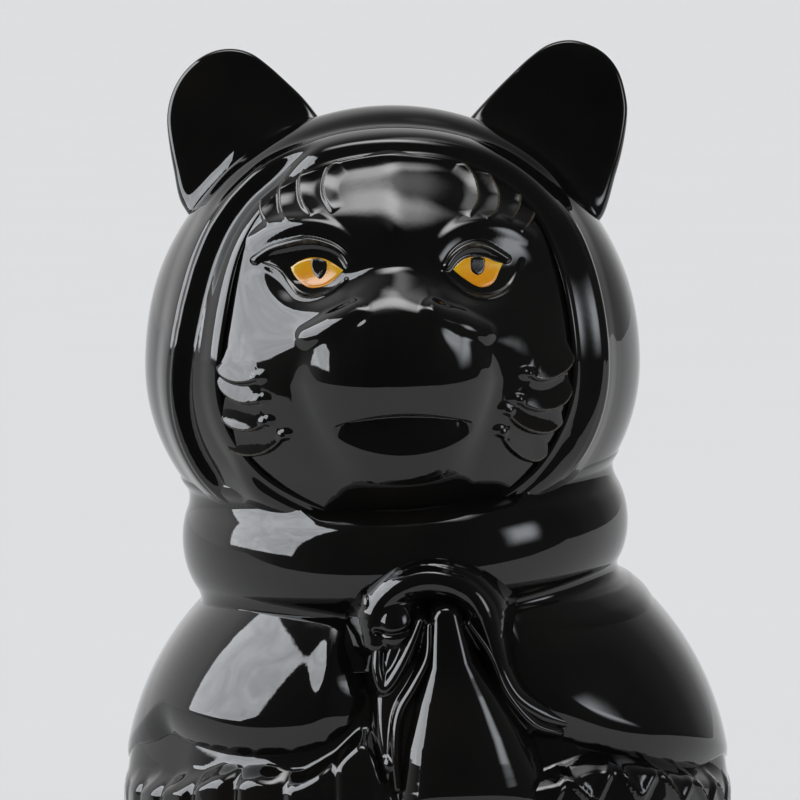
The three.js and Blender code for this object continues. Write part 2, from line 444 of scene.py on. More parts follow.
# Half angle of the hood's opening, against the angle round the line of sight: 0 is the cat's left, 90 is up.
OPENING = around([(0, 48.5), (30, 51.5), (60, 56), (90, 53), (120, 54.5), (150, 48), (180, 46.5),
                  (210, 49), (240, 47), (270, 48), (300, 50), (330, 50)])


def semi(z, shrink=0.0):
    """Half size of the head up or down from its middle."""
    return np.where(z > 0, HALF[2], HALF[3]) - shrink


def to_world(p):
    return HEAD + p @ HEAD_TURN.T


def face_ground(u, w):
    """The plain face under its features: local point and outward normal for each place seen from the front."""
    a, b, c = HALF[0] - FACE_SINK, HALF[1] - FACE_SINK, semi(w, FACE_SINK)
    y = -b * np.sqrt(np.clip(1 - (u / a) ** 2 - (w / c) ** 2, 1e-6, 1))
    normal = np.stack([u / a ** 2, y / b ** 2, w / c ** 2], -1)
    normal /= np.linalg.norm(normal, axis=-1, keepdims=True)
    return np.stack([u, y, w], -1), normal


# Each side is the cat's own. Brim and well are the upper and lower edges of the iris.
EYES = {
    "right": {
        "at": (-18.4, 21.0),
        "lid": [(-33.2, 24.2), (-29.5, 26.2), (-25.4, 27.2), (-21, 27.9), (-17.7, 27.7), (-14.4, 26.6),
                (-12, 24.8), (-10.6, 22.4)],
        "fold": [(-33, 28.6), (-27.5, 31.6), (-21, 32.2), (-14.5, 30.6), (-9.6, 26.8)],
        "rim": [(-32.5, 23.6), (-28, 21.6), (-25.8, 18.4), (-23.4, 15.4), (-20.6, 14.4), (-17.4, 14.8),
                (-14.4, 16.2), (-11.6, 18.6)],
        "bag": [(-32.5, 20), (-29.6, 15.8), (-25, 12.2), (-18.5, 11.4), (-12.8, 13.6)],
        "brim": [(-25, 22.6), (-22.7, 24), (-19.9, 24.7), (-16.8, 24.3), (-14.3, 22.9), (-12, 21.1)],
        "well": [(-12, 21.1), (-13.9, 19.3), (-16.1, 17.8), (-18.6, 17.2), (-20.9, 17.4), (-23.2, 19.1),
                 (-24.6, 21.2), (-25, 22.6)],
        "pupil": [(-19.9, 24.3), (-19.8, 21.8), (-19.2, 20.2), (-17.9, 19.1), (-16.6, 20.4), (-16, 22),
                  (-16.1, 23.6)],
    },
    "left": {
        "at": (21.2, 19.8),
        "lid": [(13.4, 21.2), (15.1, 23.6), (17.4, 25.3), (20.1, 26), (22.8, 25.6), (25.6, 24.4), (28.4, 22.9)],
        "fold": [(10.8, 24), (13.6, 27.4), (17.2, 29.8), (21.6, 30.8), (27.2, 30.4), (33.4, 28)],
        "rim": [(12.4, 19.6), (15, 16.9), (18.4, 14.3), (21.6, 13.4), (25.2, 14), (28.6, 16), (30.8, 19.2),
                (32, 22.4)],
        "bag": [(12.6, 13.8), (17.6, 10.8), (23.6, 10.4), (29.4, 12.8), (33.2, 17.4)],
        "brim": [(14.9, 20.5), (16.2, 21.9), (17.9, 23.1), (20.4, 23.6), (23.4, 23.3), (25.3, 22.5),
                 (27.4, 22)],
        "well": [(27.4, 22), (26.6, 20.3), (25.8, 18.4), (24.4, 16.8), (22.3, 16.1), (20.5, 16.5), (18.4, 17.8),
                 (16.4, 19.2), (14.9, 20.5)],
        "pupil": [(19.3, 23.2), (19.3, 20.8), (19.8, 19.6), (21.1, 18.9), (22.4, 19.6), (22.9, 21),
                  (22.9, 23.1)],
    },
}

# Edges of the brow tufts, from the top down. Each tuft stands proud on the side towards the nose.
BROWS = [
    [(-11.7, 46.9), (-14.5, 44.5), (-15.6, 41.8), (-15.6, 39.4), (-14.7, 37), (-13.6, 35)],
    [(-19, 47), (-21, 42.6), (-21.3, 39.6), (-20.4, 36.6), (-18.6, 34)],
    [(-22.6, 45), (-25.2, 41.6), (-26, 38.2), (-25.6, 35.2), (-23.8, 32.2)],
    [(-26.4, 43.4), (-29.9, 39.6), (-30.6, 36.7), (-30, 34.2), (-28.6, 31.6)],
    [(17, 46.2), (20, 43), (21.2, 39.4), (20.9, 36.4), (18.8, 32.8)],
    [(22, 45), (25.4, 40.4), (26.2, 37.4), (25.4, 34.2), (22.8, 31.8)],
    [(27, 42.8), (30.5, 38.8), (31.1, 36.2), (30.3, 33.9), (28.2, 31.2)],
    [(31.6, 40), (34.2, 36.8), (34.6, 34.2), (33.5, 31.6), (31.2, 28.8)],
]

# Lower edges of the whisker folds on the cheeks.
WHISKERS = [
    [(-43.6, 1.4), (-41.4, -2.4), (-38, -4.6), (-34.6, -5), (-31.8, -4.2)],
    [(-43.6, -1.6), (-41.2, -6.4), (-37.6, -9.2), (-34.4, -10), (-31.6, -9.6)],
    [(-43.4, -9.6), (-41, -13.8), (-37.6, -15.9), (-34, -16.2), (-30.6, -14.8)],
    [(-44, -15.6), (-41.6, -19.2), (-37.4, -21.6), (-33, -22), (-29.6, -20.8), (-26.6, -18.2)],
    [(30.8, -5), (34, -6.4), (38, -5.6), (42, -3), (44.4, 1.4)],
    [(28.6, -11.2), (31.6, -13), (35.8, -13.4), (40.4, -11.6), (43.8, -7.2)],
    [(26.2, -13.6), (28.6, -16.6), (32.2, -18.4), (36.6, -18.6), (41.2, -16)],
    [(24.8, -18.8), (27, -22.2), (30.2, -24.6), (33.6, -25.2), (37.4, -23)],
]


def opening_reach(phi, grow=0.0):
    """Distance from the line of sight to the opening's edge, as seen from the front, in a direction phi."""
    at = np.linspace(0, 360, 720, endpoint=False)
    d, r = radial(OPENING(at) + grow, at, FACE_SINK)
    edge = d[:, [0, 2]] * r[:, None]
    angle = np.degrees(np.arctan2(edge[:, 1], edge[:, 0]))
    order = np.argsort(angle)
    return np.interp(phi, angle[order], np.hypot(edge[:, 0], edge[:, 1])[order], period=360)


NOSE_X = 1.6  # middle of the nose and the mouth
LIP_TOP = -5.6  # where the muzzle starts to turn under


def broad_face(u, w):
    """The large forms: forehead, cheeks, sockets, nose, muzzle and chin."""
    d = mound(u, w, (-31, -4), (11, 14), 1.2) + mound(u, w, (31.5, -5), (11, 14), 1.2)
    d += mound(u, w, (-25, 31), (9, 4.5), 1.2, 12) + mound(u, w, (27, 30), (9, 4.5), 1.2, -12)
    for eye in EYES.values():
        x, z = eye["at"]
        d -= mound(u, w, (x * 1.04, z - 0.6), (11, 7.4), 3.4 if x < 0 else 2.8)
    # the bridge rises out of the hollow between the eyes and broadens down to the nose
    down = np.maximum(14.5 - smax(w - 6.5, 0.0, 6.0), 0)
    rise = smax(0.53 * down - 0.002 * down ** 2, 0.0, 1.5)
    d += rise * step(w, -12, 6) * np.exp(-(u - 0.2) ** 2 / (6 + 34 * rise + 2.5 * rise ** 2))
    # nose and upper lip in one: flat in front, rounded to the wings, turned under at the lip
    off = np.abs(u - NOSE_X)
    wing = step(off, 6, 13)
    muzzle = 7.4 - np.maximum(off - 8, 0) ** 2 / np.where(u > NOSE_X, 34, 45)
    muzzle -= wing * np.maximum(w - LIP_TOP, 0) ** 2 / 40 + (1 - wing) * np.maximum(w - 1, 0) ** 2 / 30
    fall = np.maximum(LIP_TOP - w, 0)
    muzzle -= np.where(fall < 1.4, 0.1 * fall ** 2, 0.28 * fall - 0.196)
    d = smax(d, muzzle, 1.6)
    d += mound(u, w, (2, -31), (12, 6), 1.0)
    d += mound(u, w, (-15, 5.5), (9, 5.5), 1.5, 20) + mound(u, w, (15.5, 5.5), (9, 5.5), 1.5, -20)
    # the face runs up into the hood all round
    phi = np.degrees(np.arctan2(w, u)) % 360
    gap = np.maximum(opening_reach(phi) - np.hypot(u, w), -0.5)
    d += (1.5 - 2.0 * np.cos(np.radians(phi)) ** 2) * np.exp(-gap / 2.0)
    return d


def face_relief(u, w):
    """Height of the face's features over the plain face, and where the glaze runs thin."""
    d = broad_face(u, w)
    thin = np.zeros_like(u)
    # sausage-shaped wrinkles beside the bridge
    for points in ([(-20, 4.6), (-14.5, 7), (-8.6, 10)], [(8.8, 9.4), (14.8, 7), (20.8, 4.6)]):
        d = lift(d, stroke(u, w, points, 3.3, 1.1, (0.85, 1, 0.85)), 0.5)
    # mouth: deepest under the upper lip, coming out to the lower lip
    x = (u - NOSE_X) / 16.0
    top, low = -13.6 - 2.4 * x * x, -23.0 + 5.0 * x * x
    share = (w - low) / np.maximum(top - low, 0.4)
    depth = 3.6 * np.clip(share, 0, 1) ** 0.8 * (1 - step(share, 0.9, 1.06))
    d -= depth * (1 - step(np.abs(x), 0.82, 1.0))
    # eyes
    for eye in EYES.values():
        d = lift(d, cap(u, w, eye["at"], (9.2, 6.4), 0.9), 0.8)
        for key, half, height in (("fold", 2.9, 0.6), ("bag", 3.2, 0.4), ("lid", 1.5, 1.2), ("rim", 0.9, 0.45)):
            level = stroke(u, w, eye[key], half, height, (0.7, 1, 0.6))
            d = lift(d, level, 0.35)
            if key in ("lid", "rim"):
                thin = np.maximum(thin, np.clip(level / height * 2 - 1.1, 0, 1) * 0.75)
    # feathered brows
    for points in BROWS:
        rise, line = ledge(u, w, points, 0.85, 3.6, 0.8, 1 if points[0][0] < 0 else -1)
        d = d + rise
        thin = np.maximum(thin, line * 0.8)
    # whisker folds on the cheeks, with a bead at the inner end
    for points in WHISKERS:
        rise, line = ledge(u, w, points, 1.7, 4.6, 1.0, 1)
        d = d + rise
        end = points[-1] if points[0][0] < 0 else points[0]
        d = lift(d, cap(u, w, end, (2.0, 1.5), 0.7), 0.3)
        thin = np.maximum(thin, line * 0.6)
    return d, thin


def face_point(u, w, extra=0.0):
    """Places on the face, raised by extra, and where the glaze runs thin."""
    ground, normal = face_ground(u, w)
    d, thin = face_relief(u, w)
    return to_world(ground + normal * (d + extra)[..., None]), thin


FACE_BACK = 2.5  # how far the back of the face lies under the plain face


def make_face():
    """A cap of even small squares: rings of a square are drawn out to the round outline."""
    n = count(148)
    size = 2 * n + 1
    side = np.linspace(-1, 1, size)
    x, y = np.meshgrid(side, side)
    u = x * np.sqrt(1 - y * y / 2)
    w = y * np.sqrt(1 - x * x / 2)
    radius, phi = np.hypot(u, w), np.degrees(np.arctan2(w, u))
    reach = opening_reach(phi, 3.0)
    u, w = radius * reach * np.cos(np.radians(phi)), radius * reach * np.sin(np.radians(phi))
    front, thin = face_point(u.ravel(), w.ravel())
    loop = border(size, size)
    faces = [quads(size, size, wrap=False)]
    vertices, marks = [front], [thin]
    base, m = len(front), len(loop)
    previous = loop
    # the back, in three steps to its middle
    for share in (1.0, 0.66, 0.33):
        ground, normal = face_ground(u.ravel()[loop] * share, w.ravel()[loop] * share)
        vertices.append(to_world(ground - normal * FACE_BACK))
        marks.append(np.zeros(m))
        now = base + np.arange(m)
        faces.append(band(previous, now))
        previous, base = now, base + m
    ground, normal = face_ground(np.zeros(1), np.zeros(1))
    vertices.append(to_world(ground - normal * FACE_BACK))
    marks.append(np.zeros(1))
    faces.append(fan(previous, base))
    build("face", np.vstack(vertices), faces, GLAZE, ["face_shell"], np.concatenate(marks))


def side_band(phi, middle, half, soft):
    """1 where the angle phi is within half of middle, falling to 0 over soft."""
    off = np.abs((phi - middle + 180) % 360 - 180)
    return 1 - step(off, half, half + soft)


PLEAT = ring([(120, 6), (133, 7), (150, 8), (168, 9), (190, 11), (210, 14), (230, 17), (320, 4)], 6)


def hood_relief(s, phi):
    """Height over the plain hood, at a distance s in mm back from the opening's edge."""
    left = side_band(phi, 166, 42, 18)
    right = side_band(phi, 2, 28, 16)
    rim = 1 - np.maximum(left, right)
    top = side_band(phi, 90, 36, 20)
    d = rim * (0.9 * np.exp(-((s - 5) / 4.5) ** 2) - 1.3 * np.exp(-(s / 2.2) ** 2))
    # the band next to the face lies low, and the outer hood steps up from it in a pleat
    a = PLEAT(phi)
    d += left * (-1.7 - 0.7 * step(s, 1, 7) + 3.4 * step(s, a - 0.4, a + 3.2)
                 - 0.35 * np.exp(-((s - a - 4.3) / 0.6) ** 2) - 1.2 * step(s, a + 4, a + 17))
    d += right * (-1.7 + 0.9 * step(s, 0.8, 6.4) + 1.7 * np.clip((s - 0.8) / 5.6, 0, 1)
                  - 0.9 * step(s, 6, 15) + 0.35 * np.exp(-((s - 8.2) / 0.8) ** 2))
    d += top * (-1.2 * np.exp(-((s - 14.5) / 3.4) ** 2) + 0.9 * np.exp(-((s - 24) / 6) ** 2))
    low = 0.6 * side_band(phi, 200, 24, 24) * step(s, 14, 26)
    d -= low + 0.5 * side_band(phi, 335, 24, 24) * step(s, 8, 18)
    return d * (1 - step(s, 50, 105))


def radial(theta, phi, shrink=0.0):
    """Local direction and the plain hood's radius that way. Theta is from the line of sight."""
    t, p = np.radians(theta), np.radians(phi)
    d = np.stack([np.sin(t) * np.cos(p), -np.cos(t), np.sin(t) * np.sin(p)], -1)
    c = semi(d[..., 2], shrink)
    across, deep = d[..., 0] / (HALF[0] - shrink), d[..., 1] / (HALF[1] - shrink)
    r = 1 / np.sqrt(across ** 2 + deep ** 2 + (d[..., 2] / c) ** 2)
    return d, r


WALL = 5.5
RIM_EDGE = 1.2  # degrees from the opening to where the hood's rim starts to turn
RIM_THICK = 3.1


def make_hood():
    """The hood, from its inside at the back, round the rim of its opening, to its outside at the back."""
    columns, outer, inner = count(340), count(225), 14
    phi = np.linspace(0, 360, columns, endpoint=False)
    edge = OPENING(phi)
    rows = []
    inside = np.linspace(0, 1, inner)[:, None]
    theta = 178 + (edge + RIM_EDGE - 178) * inside
    d, r = radial(theta, phi)
    depth = WALL - (WALL - RIM_THICK) * step(inside, 0.7, 1.0)
    rows.append(d * (r - depth)[..., None])
    for a in np.linspace(10, 170, 7):
        theta = edge + RIM_EDGE - np.degrees(1 / 58) * np.sin(np.radians(a))
        d, r = radial(theta, phi)
        out = hood_relief(np.zeros_like(phi), phi)
        level = -RIM_THICK + (out + RIM_THICK) * (1 - np.cos(np.radians(a))) / 2
        rows.append((d * (r + level)[..., None])[None])
    t = np.linspace(0, 1, outer)[:, None]
    theta = edge + RIM_EDGE + (179 - edge - RIM_EDGE) * (0.75 * t + 0.25 * t ** 2)
    s = np.radians(theta - edge - RIM_EDGE) * 60
    d, r = radial(theta, phi)
    rows.append(d * (r + hood_relief(s, phi))[..., None])
    grid = np.concatenate(rows)
    ends = np.array([[0, HALF[1] - WALL, 0], [0, HALF[1], 0]])
    vertices = to_world(np.vstack([grid.reshape(-1, 3), ends]))
    build("hood", vertices, tube_faces(len(grid), columns), GLAZE, ["hood_shell"])


def make_plate(name, material, upper, lower, thick, node):
    """A domed plate of enamel on the face, between an upper and a lower line."""
    n, rows = count(48), count(20)

    def even(line):
        length = distances(line)
        t = np.linspace(0, 1, n) * length[-1]
        return np.stack([np.interp(t, length, line[:, i]) for i in (0, 1)], -1)

    t = np.linspace(0, 1, rows)[:, None, None]
    place = even(upper) * (1 - t) + even(lower) * t
    u, w = place[..., 0].ravel(), place[..., 1].ravel()
    across = np.linspace(-1, 1, n)[None]
    dome = (1 - across ** 8) * (1 - (2 * t[..., 0] - 1) ** 8)
    front, _ = face_point(u, w, (thick * (0.3 + 0.7 * dome)).ravel())
    back, _ = face_point(u, w, np.full(u.shape, -0.3))
    edge = border(rows, n)
    faces = [quads(rows, n, wrap=False), quads(rows, n, wrap=False, offset=rows * n)[:, ::-1],
             band(edge, edge + rows * n)]
    height = np.tile(np.abs(across) ** 3, (rows, 1)).ravel() * 0.7 + (1 - t[:, 0]).repeat(n, 1).ravel() * 0.3
    build(name, np.vstack([front, back]), faces, material, [node], np.concatenate([height] * 2))


def make_eye(side, eye):
    """Almond plate of enamel under the lid, and the pupil on it."""
    top, low = curve(eye["brim"], 8), curve(eye["well"], 8)[::-1]
    make_plate(side + "_eye_iris", IRIS, top, low, 0.35, side + "_iris")
    shape = curve(eye["pupil"], 8)
    lid = curve([shape[0], (shape[0] + shape[-1]) / 2 + [0, 0.5], shape[-1]], 8)
    make_plate(side + "_eye_pupil", PUPIL, lid, shape, 0.5, side + "_pupil")


# ---------------------------------------------------------------- ears
def make_ear(name, node, outline, sink):
    """Leaf-shaped ear: an outline seen from the front, hollowed in front towards sink, round at its rim."""
    line = curve(outline, 12)[:-1]
    columns, rows = count(200), count(90)
    closed = np.vstack([line, line[:1]])
    length = distances(closed)
    t = np.linspace(0, length[-1], columns, endpoint=False)
    rim = np.stack([np.interp(t, length, closed[:, i]) for i in (0, 1)], -1)
    # most rows lie where the rim turns
    angle = np.radians(np.linspace(0, 180, rows + 2)[1:-1])
    share = np.sin(angle) ** 0.35
    thick = np.sign(np.cos(angle)) * np.abs(np.cos(angle)) ** 0.9
    x = sink[0] + (rim[:, 0] - sink[0]) * share[:, None]
    z = sink[1] + (rim[:, 1] - sink[1]) * share[:, None]
    half = 3.2 + 2.4 * step(z, 275, 235)
    hollow = 2.6 * (1 - share[:, None] ** 4)
    flare = 2.4 * np.exp(-np.maximum(z - ear_foot(x), 0) / 4.2)
    dish = np.where(thick[:, None] > 0, hollow - flare, -1.0 * (1 - share[:, None] ** 2))
    y = 2.5 - half * thick[:, None] + dish
    y += 0.14 * (z - 245)
    grid = np.stack([x, y, z], -1).reshape(-1, 3)
    ends = np.array([[sink[0], y[0].mean(), sink[1]], [sink[0], y[-1].mean(), sink[1]]])
    build(name, np.vstack([grid, ends]), tube_faces(rows, columns), GLAZE, [node])


def ear_foot(x):
    """Height of the head's outline as seen from the front, where the ear meets it."""
    return HEAD[2] + HALF[2] * np.sqrt(np.clip(1 - ((x - HEAD[0]) / HALF[0]) ** 2, 0, 1))


# ---------------------------------------------------------------- scarf
ROLL_AT = np.array([-5.2, -1.0, 158.0])
ROLL_TURN = turn("y", -3.85) @ turn("x", 2.5)
ROLL_RING, ROLL_WIDE, ROLL_HOLE = 42.2, 13.6, 33
ROLL_TALL = ring([(0, 15.5), (90, 16), (180, 16.5), (225, 15), (270, 13), (315, 14.5)], 12)


def head_reach(start, way):
    """Distance from points along level directions to the plain hood's far surface."""
    o, v = (start - HEAD) @ HEAD_TURN, way @ HEAD_TURN
    half = np.array([HALF[0], HALF[1], HALF[3]])
    a, b = ((v / half) ** 2).sum(-1), (o * v / half ** 2).sum(-1)
    c = ((o / half) ** 2).sum(-1) - 1
    reach = (-b + np.sqrt(np.clip(b * b - a * c, 0, None))) / a
    # in the hood's opening the face lies lower
    q = o + v * reach[..., None]
    theta = np.degrees(np.arctan2(np.hypot(q[..., 0], q[..., 2]), -q[..., 1]))
    edge = OPENING(np.degrees(np.arctan2(q[..., 2], q[..., 0])))
    return reach - 7 * step(edge + 3 - theta, 0, 4)


def make_roll():
    """The padded roll round the neck, running smoothly into the hood above and the cape below."""
    columns, rows = count(480), count(170)
    phi = np.linspace(0, 360, columns, endpoint=False)[None]
    z = np.linspace(-25, 24, rows)[:, None]
    p = np.radians(phi) + 0 * z
    tall = ROLL_TALL(phi)
    front = np.exp(-(((phi - 272 + 180) % 360 - 180) / 26) ** 2)
    radius = ROLL_RING + ROLL_WIDE * np.clip(1 - (z / tall) ** 2, 0, 1) ** 0.4 - 0.9 * front
    radius += 0.25 * front * np.cos(z / 2.6 + 0.6) * np.clip(1 - np.abs(z / 14), 0, 1)
    out = np.stack([np.cos(p), np.sin(p), 0 * p], -1) @ ROLL_TURN.T
    start = ROLL_AT + np.stack([0 * p, 0 * p, z + 0 * p], -1) @ ROLL_TURN.T
    radius = smax(radius, head_reach(start, out) - 0.3 - 5 * step(z, 16, 24), 5.0)
    height = (start + out * radius[..., None])[..., 2]
    k = np.maximum(torso_radius(height), 0.1)
    c, s = out[..., 0] / (UPPER[0] * k), out[..., 1] / (UPPER[1] * k)
    cape = squared(c, s) / np.hypot(c, s)
    drawn = DRAWN * (height - TORSO[2]) * np.clip(-np.sin(p), 0, 1) ** 2
    cape -= out[..., 0] * (start[..., 0] - TORSO[0] + drawn) + out[..., 1] * (start[..., 1] - TORSO[1])
    radius = smax(radius, cape - 0.3 - 1.5 * step(-z, 18, 25), 5.0)
    outer = start + out * radius[..., None]
    inner = (start + out * ROLL_HOLE)[::-1]
    grid = np.concatenate([outer, inner[::max(1, rows // 12)]])
    f = quads(len(grid) + 1, columns) % (len(grid) * columns)
    build("scarf_roll", grid.reshape(-1, 3), [f], GLAZE, ["neck_roll"])


def sweep(name, node, points, section, columns, steps, up, toes=0.0):
    """A round bar along a line. Section gives its half sizes at each share of the way. Toes is how deep the two
    grooves between them are."""
    line = curve(points, 16)
    length = distances(line)
    t = np.linspace(0, 1, count(steps))
    p = np.stack([np.interp(t * length[-1], length, line[:, i]) for i in range(3)], -1)
    tangent = np.gradient(p, axis=0)
    tangent /= np.linalg.norm(tangent, axis=1, keepdims=True)
    face = np.array(up, float) - (tangent @ np.array(up, float))[:, None] * tangent
    face /= np.linalg.norm(face, axis=1, keepdims=True)
    across = np.cross(tangent, face)
    a = np.radians(np.linspace(0, 360, count(columns), endpoint=False))
    c, s = np.cos(a), np.sin(a)
    rows = []
    for i, share in enumerate(t):
        wide, thick = section(share)
        x, y = wide * c, thick * s
        groove = np.exp(-((np.abs(x) - 4.4) / 1.9) ** 2) * step(s, -0.7, -0.1)
        groove = toes * step(share, 0.72, 0.86) * groove
        # the grooves run over the end
        fore = step(share, 0.8, 0.97)
        rows.append(p[i] + np.outer(x, across[i]) + np.outer(y, face[i]) - np.outer(groove * fore, tangent[i])
                    - np.outer(groove * (1 - fore) * np.clip(3 * s, 0, 1), face[i]))
    grid = np.array(rows)
    vertices = np.vstack([grid.reshape(-1, 3), p[0], p[-1]])
    build(name, vertices, tube_faces(len(t), len(a)), GLAZE, [node])


def rounded(share, end):
    """Share of full size, closing to a round end at both ends."""
    x = np.clip(np.minimum(share, 1 - share) / end, 0, 1)
    return max(0.03, np.sqrt(1 - (1 - x) ** 2))


SCARF_Z = [88, 100, 110, 120, 130, 140, 150, 162]
SCARF_Y = [-68.2, -67.8, -66, -63.4, -61, -59.4, -57.6, -54.5]


SCARF_X = 2  # middle of the hanging scarf


def scarf_ground(x, z):
    """How far forward the scarf's folds lie."""
    return np.interp(z, SCARF_Z, SCARF_Y) + (x - SCARF_X) ** 2 / 130


def sunk(x):
    """How far the sheet between the folds lies under their ground."""
    return -12.5 - 0.7 * np.maximum(np.abs(x - SCARF_X) - 12, 0)


def make_knot():
    """The knot's loop with its creases, and the two ends that hang from it."""
    def knot(x, z):
        h = bar(x, z, [(-12.6, 137.6), (-12.8, 144.6), (-8.4, 150), (-2.4, 152.8), (4.2, 152.8), (10, 150.2),
                       (13.8, 145.2), (15.8, 138.2), (18, 131), (22, 124.4), (28.6, 120), (36.4, 116.8)],
                [3.0, 3.8, 4.3, 4.4, 4.4, 4.3, 4.0, 2.6, 2.1, 2.2, 2.5, 1.6],
                [2.2, 3.2, 3.6, 3.6, 3.6, 3.6, 3.4, 2.6, 1.9, 1.5, 1.1, 0.2])
        h = smax(h, cap(x, z, (-8.4, 142.6), (5.6, 6.8), 3.6, 14), 0.9)
        h = smax(h, cap(x, z, (-14.4, 146.8), (2.0, 2.8), 2.6), 0.4)
        h = smax(h, cap(x, z, (-13.8, 141.4), (1.8, 2.4), 2.4), 0.4)
        crease = along(x, z, curve([(-12.4, 140.4), (-8.6, 139.8), (-4.2, 141.2), (-2.6, 145.6)]))[0]
        h -= 1.0 * np.exp(-(crease / 0.7) ** 2)
        for points in ([(-6, 149.4), (2, 148.4), (9.4, 146.6), (12.6, 141), (14.6, 134)],
                       [(-8.6, 153.4), (0, 156), (9.4, 153.6), (15.8, 147.6), (18, 140)]):
            crease, t, _ = along(x, z, curve(points))
            h -= 0.55 * np.exp(-(crease / 0.6) ** 2) * np.sin(np.pi * t) ** 0.5
        return smax(h, sunk(x), 0.5)

    def right_end(x, z):
        h = bar(x, z, [(-1.6, 143), (-4.2, 136.6), (-7.4, 130.4), (-10.4, 127), (-12, 130.6), (-12, 135.6)],
                [1.6, 2.0, 2.1, 2.1, 1.9, 1.5], [2.4, 2.6, 2.4, 2.2, 2.0, 1.6])
        h = smax(h, bar(x, z, [(0.6, 142), (0.2, 134.6), (-3, 128), (-6.2, 122.6), (-7.4, 117.6), (-7.6, 111),
                               (-7, 104)],
                        [1.5, 1.8, 2.0, 2.1, 2.0, 1.9, 1.6], [2.4, 3.0, 3.2, 3.2, 3.0, 2.6, 2.0]), 0.5)
        h = smax(h, 0.9 - 0.9 * oval(x, z, (-6.8, 121), (5.2, 17)) ** 3, 0.8)
        h = smax(h, cap(x, z, (-9.2, 109.4), (2.0, 2.4), 2.2), 0.4)
        return smax(h, sunk(x), 0.5)

    def left_end(x, z):
        h = bar(x, z, [(4.6, 143.4), (5.8, 133), (6.8, 125), (8.2, 115), (10, 103), (10.4, 98)],
                [4.0, 6.2, 10.2, 14.2, 17.2, 17.6], [3.0, 4.2, 5.2, 5.8, 5.8, 5.4], 4.0)
        h = smax(h, bar(x, z, [(10.2, 142.4), (15.2, 135.2), (19.2, 126), (25.6, 118.4), (32, 115.6)],
                        [1.2, 1.3, 1.4, 1.6, 1.2], [2.2, 2.3, 2.0, 1.6, 0.6]), 0.6)
        h = smin(h, (z - 97.6) * 1.3, 1.5)
        return smax(h, sunk(x), 0.5)

    patch("scarf_knot_folds", (-21, 42, 110, 162), scarf_ground, knot, ["scarf_knot"])
    patch("scarf_end_right", (-18, 8, 98, 148), scarf_ground, right_end, ["right_scarf_end"])
    patch("scarf_end_left", (-14, 38, 94, 150), scarf_ground, left_end, ["left_scarf_end"])


# ---------------------------------------------------------------- body
TORSO = np.array([0.4, 0.0, 92.0])
UPPER = (76.2, 68.0, 72.2)
LOWER_DROP = 150.0
FOOT, TOP = 1.8, 138
DRAWN = 0.0804  # how far the front is drawn to the cat's right for each mm above the middle

# Cape's lower edge from the knot round the cat's left, the back and its right to the knot: (angle, height).
HEM = [(291, 146), (290.7, 134.2), (291.3, 128.6), (295.2, 123.4), (301.9, 118.2), (309.1, 114.4), (319, 110.6),
       (332, 107.4), (346, 104.6), (360, 101), (400, 92), (450, 85), (500, 91), (540, 101), (560, 110),
       (569, 116.4), (577, 116.4), (593, 115.2), (604.4, 117), (610.1, 120.1), (613, 123.8), (614.2, 128),
       (613.4, 135), (613, 146)]
# Top of the fur tufts under it.
TUFTS = ring([(0, 96), (45, 88), (90, 80), (135, 87), (165, 94), (180, 97), (200, 100), (208, 101),
              (221, 103.4), (231.4, 107.4), (241.7, 107.2), (246.9, 106.6), (251, 110.5), (256, 115),
              (259.6, 118.2), (261.4, 112), (263, 106), (270, 103), (282, 104), (293.8, 107), (302, 110),
              (311, 109.4), (318, 106.6), (325, 104), (335, 101.4), (346, 98.6)], 1.6)
GIRTH = 1.25  # mm round the body for each degree


def torso_radius(z):
    """Share of the body's widest size at a height z."""
    h = z - TORSO[2]
    return np.sqrt(np.clip(1 - (h / np.where(h > 0, UPPER[2], LOWER_DROP)) ** 2, 0, 1))


def below_hem(phi, z):
    """Distance in mm outside the cape's lower edge; negative on the cape."""
    line = curve([(a * GIRTH, h) for a, h in HEM], 4)
    around_back = np.where(phi < 272, phi + 360, phi) * GIRTH
    reach, _, side = along(around_back, z, line)
    return -side * reach


def squared(c, s):
    """How far the body's plan stands outside an ellipse, in a direction given by shares of its half sizes."""
    n = 2 + 0.5 * (s < 0)
    size = np.hypot(c, s)
    return size * (np.abs(c) ** n + np.abs(s) ** n) ** (-1 / n)


def body_grid(phi, heights, levels):
    """Points round the body. In front, what is above its middle is drawn a little to the cat's right."""
    p = np.radians(phi)
    k = torso_radius(heights)
    high = np.maximum(heights - TORSO[2], 0)
    drawn = DRAWN * high * step(high, 0, 30) * np.clip(-np.sin(p), 0, 1) ** 2
    m = squared(np.cos(p), np.sin(p))
    x = TORSO[0] + (UPPER[0] * k * m + levels) * np.cos(p) - drawn
    y = (UPPER[1] * k * m + levels) * np.sin(p)
    return np.stack([x, y, heights + 0 * x], -1)


def make_cape():
    columns, outer = count(520), count(165)
    phi = np.linspace(0, 360, columns, endpoint=False)
    edge = ring([(a % 360, min(h, 121)) for a, h in sorted(HEM[1:-1], key=lambda q: q[0] % 360)], 2)(phi)
    low, top, inner = edge - 11, 155.0, 12
    t = np.linspace(0, 1, inner)[:, None]
    rows = [((top - 1) + (low - top + 1) * t, np.full((inner, columns), -10.0))]
    t = np.linspace(0, 1, outer)[:, None]
    z = low + (top - low) * t
    out = below_hem(np.broadcast_to(phi, z.shape), z)
    front = in_front(phi)
    under = np.clip((out + 1.5 + 2 * front) / (4 + 6.5 * front), 0, 1)
    level = -1.07 * hem_depth(phi) * under ** 1.6 - 1.6 * np.clip(out - 1.2 - 5.3 * front, 0, 2.5)
    rows.append((z, level + cape_swell(phi, z)))
    grid = np.concatenate([body_grid(phi, z, level) for z, level in rows])
    f = quads(len(grid) + 1, columns) % (len(grid) * columns)
    build("cape", grid.reshape(-1, 3), [f], GLAZE, ["cape_shell"])


